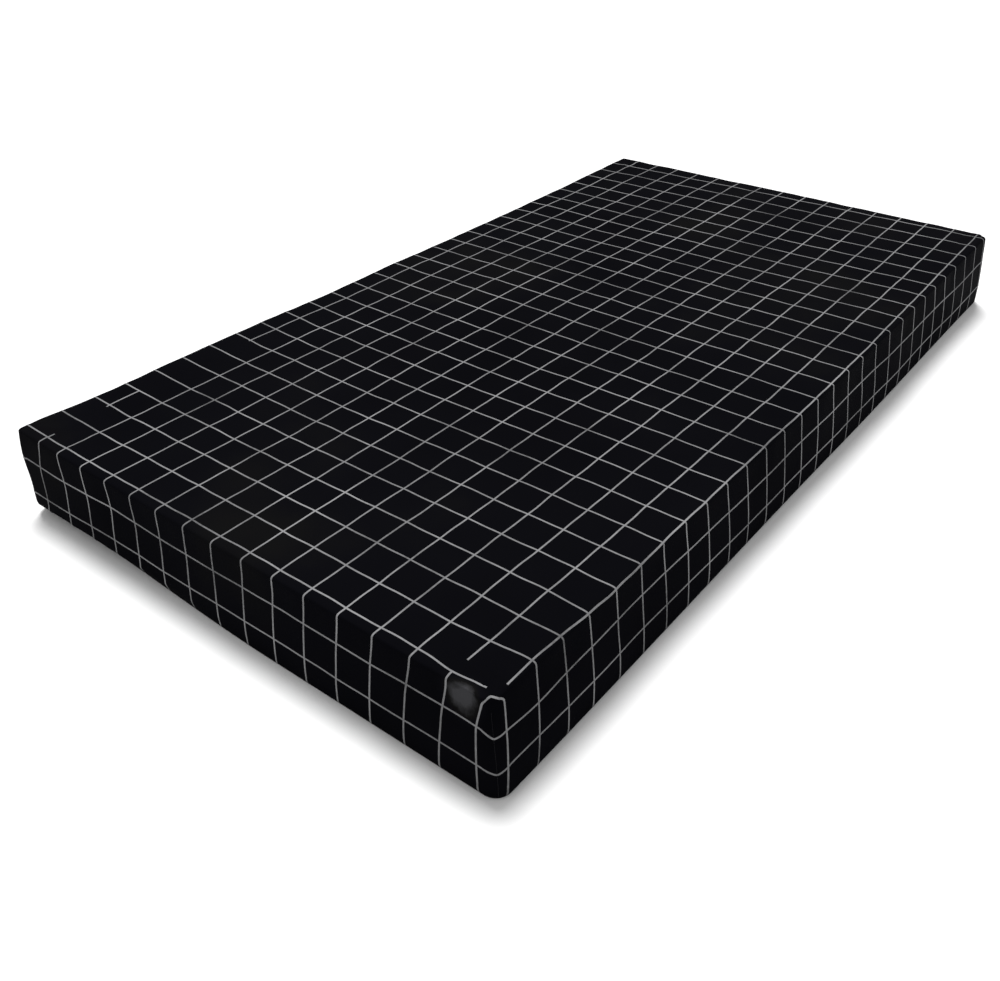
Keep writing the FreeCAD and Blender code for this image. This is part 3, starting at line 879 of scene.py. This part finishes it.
def pull_y(x, y, z):
    """How far the lines that run along the length are pulled across the width."""
    across = y / HALF_Y
    near_right = 12.8 * np.clip(-x, 0, 1) * np.clip(-across, 0, 1)
    far_left = (9 * left_fill(x) + 12 * hill(x + 0.924, 0.12)) * ramp(y, 0.41, 0.47)
    on_top = -4.4 + 4.5 * x**2 - 17.2 * x * across + near_right - far_left
    on_end = 9 * np.exp(-(y + HALF_Y) / 0.08) - 2 * hill(y - 0.12, 0.25) + 2.5 * (1 - z / TOP)
    on_end = on_end + 8 * ramp(y, -0.1, 0.45) * (1 - ramp(z, 0, 0.04))
    wobble = 0.35 * np.sin(x * 39 + y * 71) + 0.25 * np.sin(x * 97 - y * 53)
    on_top = on_top + wobble
    wall = 1 - ramp(z, 0.09, TOP)
    top_part = (MM * on_top + drawn_aside(x, y, 1)) * (1 - wall)
    return top_part + MM * on_end * wall * (x < 0)


def cover_over_plan(x, y):
    """Points and normals on the even cover above points of its plan."""
    root_x = np.clip(x, -INNER_X, INNER_X)
    root_y = np.clip(y, -INNER_Y, INNER_Y)
    out = np.hypot(x - root_x, y - root_y)
    run = np.interp(out, SECTION[:WIDEST, 0], SECTION_RUN[:WIDEST])
    return on_cover(root_x, root_y, np.arctan2(y - root_y, x - root_x), run)


def line_down(line, inner_across, inner_along, sign, pull):
    """One end of a line, from the top down to the hem, as (along, across, up)."""
    runs = np.arange(2 * MM, SECTION_RUN[-1] - 2 * MM, 2.5 * MM)
    out, height = on_section(runs)[0].T
    across = line + pull(line, sign * (inner_along + out), height)
    root = np.clip(across, -inner_across, inner_across)
    sine = (across - root) / out
    there = np.abs(sine) < 0.98
    heading = np.arctan2(sine[there], sign * np.sqrt(1 - sine[there] ** 2))
    return on_cover(sign * inner_along, root[there], heading, runs[there])


def swapped(*tables):
    """The same points or normals, with X and Y changed over."""
    return [table[:, [1, 0, 2]] for table in tables]


def check_line(line, runs_along_x):
    """One line over the whole cover: up one side, over the top and down the other."""
    if runs_along_x:
        inner_across, inner_along = INNER_Y, INNER_X
        pull = lambda line, along, z: pull_y(along, line, z)
    else:
        inner_across, inner_along = INNER_X, INNER_Y
        pull = pull_x
    start, start_facing = line_down(line, inner_across, inner_along, -1, pull)
    end, end_facing = line_down(line, inner_across, inner_along, 1, pull)
    count = round((end[0, 0] - start[0, 0]) / (9 * MM))
    along = np.linspace(start[0, 0], end[0, 0], count + 1)[1:-1]
    across = line + pull(line, along, np.full(len(along), TOP))
    if runs_along_x:
        middle, facing = cover_over_plan(along, across)
    else:
        middle, facing = cover_over_plan(across, along)
        start, start_facing, end, end_facing = swapped(start, start_facing, end, end_facing)
    points = np.vstack([start[::-1], middle, end])
    return points, np.vstack([start_facing[::-1], facing, end_facing])


def level_line(side, run, seam_run):
    """A level line along one side, that dips to the seams at its two corners.

    At the near corner it meets the other side's line, at seam_run."""
    half, far = (INNER_Y, INNER_X) if side[1] == "x" else (INNER_X, INNER_Y)
    sign = -1 if side[0] == "-" else 1
    straight = np.linspace(-half, half, round(2 * half / (9 * MM)) + 1)
    bend = np.radians(np.linspace(0, 45, 11)[1:])
    turn = np.concatenate([-bend[::-1], np.zeros(len(straight)), bend])
    root = np.concatenate([np.full(10, -half), straight, np.full(10, half)])
    drift = 1.2 * MM * waves(columns([root, root * 0, root * 0 + far]), 5, 0.35, 61)
    runs = run + drift
    if side == "-y":
        # the line follows the foot as it spreads, and sags beside the near corner
        height = np.interp(run, SECTION_RUN, SECTION[:, 1])
        runs = runs - 1.3 * foot_spread(root, height)
        runs = runs + 7 * MM * hill(root + 0.86, 0.06) * ramp(height, 0.05, 0.09)
    to_seam = np.abs(turn / math.radians(45)) ** 1.2
    meets = np.where((turn < 0) & (sign < 0), seam_run, runs + 4 * MM)
    heading = turn if sign > 0 else math.pi - turn
    made = on_cover(sign * far, root, heading, runs + (meets - runs) * to_seam)
    return swapped(*made) if side[1] == "y" else made


def corner_arch():
    """Where the cloth is tucked at the near corner, its two first lines join in an arch.

    One path: up the -X side, over the arch and down the -Y side."""
    spring = TOP - 13 * MM
    lean_left = lambda line, along, z: MM * (13 - 6.5 * ramp(z, 0.1, 0.155))
    lean_right = lambda x, along, z: MM * (6 + 3 * ramp(z, 0.1, 0.15)) - 1.5 * foot_spread(x, z)
    left, left_facing = line_down(FIRST_Y - HALF_Y, INNER_Y, INNER_X, -1, lean_left)
    right, right_facing = swapped(
        *line_down(FIRST_X - HALF_X, INNER_X, INNER_Y, -1, lean_right)
    )
    left_below, right_below = left[:, 2] < spring, right[:, 2] < spring
    left, left_facing = left[left_below][::-1], left_facing[left_below][::-1]
    right, right_facing = right[right_below], right_facing[right_below]
    half_bend = CORNER * math.pi / 4
    turn = np.radians(np.linspace(-90, 90, 37)[1:-1])
    reach = np.where(turn < 0, left[-1, 1] + INNER_Y, right[0, 0] + INNER_X) + half_bend
    around = reach * np.sin(turn) + 4 * MM * np.cos(turn) ** 2
    facing = math.pi * 1.25 + np.clip(around, -half_bend, half_bend) / CORNER
    beyond = np.sign(around) * np.clip(np.abs(around) - half_bend, 0, None)
    crest, foot = run_at_height(TOP - 1 * MM), run_at_height(spring)
    root_x = np.clip(beyond, 0, None) - INNER_X
    root_y = np.clip(-beyond, 0, None) - INNER_Y
    arch, normals = on_cover(root_x, root_y, facing, foot - (foot - crest) * np.cos(turn))
    return np.vstack([left, arch, right]), np.vstack([left_facing, normals, right_facing])


def stretches(points, normals, hidden):
    """Splits a path into the parts that aren't hidden."""
    parts, current = [], []
    for i, gone in enumerate([*hidden, True]):
        if not gone:
            current.append(i)
        elif current:
            parts.append(current)
            current = []
    return [(points[part], normals[part]) for part in parts if len(part) > 2]


def in_zip_slot(points, margin):
    at_height = np.abs(points[:, 2] - ZIP_Z) < SLOT_HALF_Z + margin
    return (points[:, 1] > HALF_Y - 8 * MM) & at_height & (np.abs(points[:, 0]) < SLOT_HALF_X)


# where the lines run into a crease or are worn away, in mm: centre, width along each axis
WORN_LINES_MM = (
    ((-912, -436, 160), (11, 6, 10)),
    ((-853, 466, 160), (52, 10, 10)),
    ((-600, 470, 160), (120, 10, 10)),
)


def worn_away(points):
    return np.any([away_from(points, *place) < 1 for place in WORN_LINES_MM], axis=0)


def check_lines_paths():
    """Every line of the check as (points, normals, how far it stands proud)."""
    paths = []
    crossing = (False, HALF_X, FIRST_X, 1, FIRST_Y - HALF_Y + 7 * MM, 1.0)
    along = (True, HALF_Y, FIRST_Y, 0, FIRST_X - HALF_X + 17 * MM, 1.25)
    for runs_along_x, half, first, axis, corner, proud in (crossing, along):
        for k in range(int((2 * half - first) / SQUARE) + 1):
            points, normals = check_line(first - half + k * SQUARE, runs_along_x)
            hidden = worn_away(points) if runs_along_x else in_zip_slot(points, 1 * MM)
            if k == 0:
                hidden |= points[:, axis] < corner
            parts = stretches(points, normals, hidden)
            paths += [(*part, LINE_PROUD * proud) for part in parts]
    return [*paths, (*corner_arch(), LINE_PROUD * 1.4), *level_paths()]


def level_paths():
    """The level lines on the four sides, about one square apart down the cloth."""
    # the cloth is drawn a little shorter down the sides than it is over the top
    drawn = 0.94 * SQUARE
    starts = {
        "-x": CORNER - FIRST_X,
        "-y": CORNER - FIRST_Y + 2 * MM,
        "+x": CORNER - (2 * HALF_X - FIRST_X) % SQUARE,
        "+y": CORNER - (2 * HALF_Y - FIRST_Y) % SQUARE,
    }
    paths = []
    for side, start in starts.items():
        for k, run in enumerate(np.arange(start + drawn, SECTION_RUN[-1] - 8 * MM, drawn)):
            points, normals = level_line(side, run, (74 + 56 * k) * MM)
            parts = stretches(points, normals, in_zip_slot(points, 2 * MM))
            paths += [(*part, LINE_PROUD * 1.12) for part in parts]
    return paths


def make_check_lines(material):
    """All the lines of the check as one piece that lies in the cover's cloth."""
    strips = [
        strip(laid_on(points, normals), normals, LINE_WIDTH, proud, LINE_SUNK)
        for points, normals, proud in check_lines_paths()
    ]
    lines = joined("check_lines", strips, sharp=40)
    return finished(lines, material)


# ---- seams


def make_corner_seams(material):
    """Short stitches in the groove of each upright corner seam."""
    rows = []
    runs = np.linspace(run_at_height(TOP - 24 * MM), run_at_height(4 * MM), 60)
    place, facing = on_section(runs)
    for sign_x, sign_y in CORNERS:
        way = np.array((sign_x, sign_y)) / math.sqrt(2)
        root = (sign_x * INNER_X, sign_y * INNER_Y)
        points = columns([root + place[:, :1] * way, place[:, 1]])
        normals = columns([facing[:, :1] * way, facing[:, 1]])
        on_cloth = laid_on(points, normals, -0.12 * MM)
        rows += stitches(on_cloth, normals, 2.6 * MM, 0.9 * MM, 0.3 * MM)
    seams = joined("corner_seams", rows)
    return finished(seams, material, ["corner_seam_threads"])


def make_bottom_seam(material):
    """The row of stitches that shows on the underside, a little in from its edge."""
    inset = 7 * MM
    out = CORNER - inset
    _, roots, outward = perimeter(GRID_X, GRID_Y)
    plan = roots + out * outward
    plan = np.vstack([plan, plan[:1]])
    points = columns([plan, np.full(len(plan), panel_low.z + 0.28 * MM)])
    points = without_repeats(points)
    normals = np.tile((0.0, 0.0, -1.0), (len(points), 1))
    rows = stitches(settled(points), normals, 3.2 * MM, 1.2 * MM, 0.24 * MM)
    seam = joined("bottom_seam", rows)
    return finished(seam, material, ["bottom_seam_thread"])


# ---- the zip


def make_tape(name, node, sign, material):
    """A woven zip tape, with a thicker selvedge under its row of coil."""
    low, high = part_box(node)
    edge, back = (low.z, high.z) if sign > 0 else (high.z, low.z)
    thin = high.y - low.y
    selvedge, slope = edge + sign * 2.4 * MM, edge + sign * 3.0 * MM
    front, rear = low.y - 0.25 * thin, high.y - 0.2 * thin
    bulge = (high.y - 0.1 * thin, (edge + back) / 2)
    outline = [(front, edge), (high.y, edge), (high.y, selvedge), (rear, slope), bulge]
    outline += [(rear, back), (low.y, back), (low.y, slope), (front, selvedge)]
    xs = np.linspace(low.x, high.x, 170)
    ripple = 0.12 * MM * waves(columns([xs, xs * 0, xs * 0]), 5, 0.06, 31 + sign)
    rings = [[(x, y - abs(r), z) for y, z in outline] for x, r in zip(xs, ripple)]
    tape = joined(name, [np.array(rings)], sharp=35)
    finished(tape, material, [node])


def make_coil(name, node, sign, material):
    """One row of the zip: a single nylon thread wound in flat turns that mesh with the other."""
    low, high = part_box(node)
    reach = 3.4 * MM
    wire = 0.27 * MM
    outer = high.z if sign > 0 else low.z
    steps = 10
    turns = int((high.x - low.x) / COIL_PITCH)
    turn = np.arange(turns * steps + 1) / steps
    x = low.x + (turn + (0.0 if sign > 0 else 0.5)) * COIL_PITCH
    angle = turn * math.tau
    z = outer - sign * (wire + (reach - 2 * wire) * (0.5 - 0.5 * np.cos(angle)))
    y = (low.y + high.y) / 2 + (high.y - low.y - 2 * wire) / 2 * np.sin(angle)
    inside = x < high.x
    points = columns([x, y, z])[inside]
    normals = np.tile((1.0, 0.0, 0.0), (len(points), 1))
    coil = joined(name, [tube(points, normals, wire, sides=5)])
    return finished(coil, material, [node])


def zip_wall(x, z):
    """Points and normals on the cloth of the +Y side, at those places."""
    points, normals = on_cover(x, INNER_Y, math.pi / 2, run_at_height(z))
    return laid_on(points, normals), normals


def make_tape_stitching(name, node, material):
    """A straight row of stitches through the cover and the tape behind it."""
    low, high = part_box(node)
    x = np.linspace(low.x, high.x, 400)
    points, normals = zip_wall(x, np.full(len(x), (low.z + high.z) / 2))
    rows = joined(name, stitches(points, normals, 3.0 * MM, 0.9 * MM, 0.28 * MM))
    return finished(rows, material, [node])


def make_bar_tacks(material):
    """A close zigzag of thread over each end of the slot."""
    tacks = []
    half = (tack_high.x - 880 * MM) / 2
    for end in (-1, 1):
        count = 50
        z = np.linspace(tack_low.z, tack_high.z, count)
        x = end * (tack_high.x - half) + half * np.where(np.arange(count) % 2, 1, -1)
        points, normals = zip_wall(x, z)
        tacks.append(tube(points + normals * 0.2 * MM, normals, 0.26 * MM))
    return finished(joined("bar_tacks", tacks), material, ["zip_bar_tacks"])


def make_label(cloth, thread):
    """A blank woven care label, hemmed at both ends and sewn flat to the cover."""
    xs = np.linspace(label_low.x, label_high.x, 25)
    lift = 0.4 * MM
    thick = 0.45 * MM
    rings = []
    for height in np.linspace(label_low.z, label_high.z, 41):
        points, normals = zip_wall(xs, np.full(len(xs), height))
        from_end = min(height - label_low.z, label_high.z - height)
        hem = 1 - ramp(from_end, 4.5 * MM, 5.2 * MM)
        wave = 0.8 + 0.2 * np.cos((xs - xs[0]) / (xs[-1] - xs[0]) * 5)
        back = lift + 1.0 * MM * ramp(from_end, 4 * MM, 22 * MM) * wave
        face = points + normals * (back + thick + thick * hem)[:, None]
        rings.append(np.vstack([face, (points + normals * back[:, None])[::-1]]))
    label = joined("care_label_cloth", [np.array(rings)], sharp=40)
    finished(label, cloth, ["care_label"])
    rows = []
    for height in (label_low.z + 2.5 * MM, label_high.z - 2.5 * MM):
        x = np.linspace(label_low.x + 1 * MM, label_high.x - 1 * MM, 20)
        points, normals = zip_wall(x, np.full(len(x), height))
        lifted = points + normals * (lift + 2 * thick)
        rows += stitches(lifted, normals, 2.2 * MM, 0.7 * MM, 0.2 * MM)
    finished(joined("label_stitches", rows), thread)


def make_metal(names, material):
    """CAD nodes that are carried over get a better material."""
    for name in names:
        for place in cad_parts[name].material_slots:
            place.material = material


# ---- camera, light, floor


def add_camera():
    """Looks down at the near corner, from the height of a person sitting down."""
    place = Vector((-1.6230, -1.0895, 1.0943))
    target = Vector((-0.5767, -0.2394, 0.16))
    roll = math.radians(-1.165)
    data = bpy.data.cameras.new("camera")
    data.sensor_fit = "HORIZONTAL"
    data.sensor_width = 36
    data.lens = 37.80
    camera = added("camera", data)
    aim = (target - place).to_track_quat("-Z", "Y").to_matrix().to_4x4()
    camera.matrix_world = Matrix.Translation(place) @ aim @ Matrix.Rotation(roll, 4, "Z")
    bpy.context.scene.camera = camera


def add_overhead_light():
    """A broad soft light high overhead, a little behind the mattress."""
    tilt = math.radians(23)
    data = bpy.data.lights.new("overhead_light", "SUN")
    data.energy = 3.3
    data.angle = math.radians(19)
    way = Vector((1, 1.1, 0)).normalized() * math.tan(tilt) + Vector((0, 0, 1))
    lamp = added("overhead_light", data)
    lamp.matrix_world = way.to_track_quat("Z", "Y").to_matrix().to_4x4()


def add_studio():
    scene = bpy.context.scene
    scene.view_settings.view_transform = "Standard"
    world = bpy.data.worlds.new("studio")
    world.use_nodes = True
    sky = world.node_tree.nodes["Background"]
    sky.inputs["Color"].default_value = (1, 1, 1, 1)
    sky.inputs["Strength"].default_value = 0.56
    scene.world = world
    add_overhead_light()
    far = 30
    corners = [(-far, -far, 0), (far, -far, 0), (far, far, 0), (-far, far, 0)]
    floor = new_object("floor", corners, [(0, 1, 2, 3)])
    paint = Nodes("floor_paint", roughness=0.9, specular=0.1)
    paint.colour(paint.noise(2.0, 2.0), (0.3, (0.90, 0.90, 0.90)), (0.7, (0.91, 0.91, 0.91)))
    floor.data.materials.append(paint.material)


# ---- build

add_camera()
add_studio()

make_cover(black_cloth())
make_check_lines(check_yarn())
lining = plain_cloth("base_cloth", (0.008, 0.008, 0.009), (0.014, 0.014, 0.016), 1.1 * MM)
make_bottom_panel(lining)
calico = plain_cloth("calico", (0.66, 0.64, 0.59), (0.78, 0.76, 0.71), 0.7 * MM)
make_casing(calico)
make_pads(fibre_fill())
soft_foam = foam("comfort_foam", (0.62, 0.66, 0.70), (0.74, 0.77, 0.80))
firm_foam = foam("support_foam", (0.66, 0.60, 0.44), (0.78, 0.73, 0.56))
make_foam("comfort_foam", "comfort_foam_layer", soft_foam)
make_foam("foam_core", "support_foam_core", firm_foam)

thread = sewing_thread()
make_corner_seams(thread)
make_bottom_seam(thread)
webbing = plain_cloth("zip_webbing", (0.008, 0.008, 0.009), (0.016, 0.016, 0.018), 0.6 * MM)
nylon = zip_nylon()
for half, sign in (("upper", 1), ("lower", -1)):
    make_tape("tape_" + half, "zip_tape_" + half, sign, webbing)
    make_coil("coil_" + half, "zip_coil_" + half, sign, nylon)
    make_tape_stitching("stitching_" + half, "tape_stitching_" + half, thread)
make_bar_tacks(thread)
make_label(plain_cloth("label_satin", (0.70, 0.70, 0.69), (0.80, 0.80, 0.79), 0.5 * MM), thread)
make_metal(("zip_slider", "slider_bridge", "pull_tab"), zip_lacquer())
make_metal(("zip_top_stops", "zip_bottom_stop"), crimped_steel())
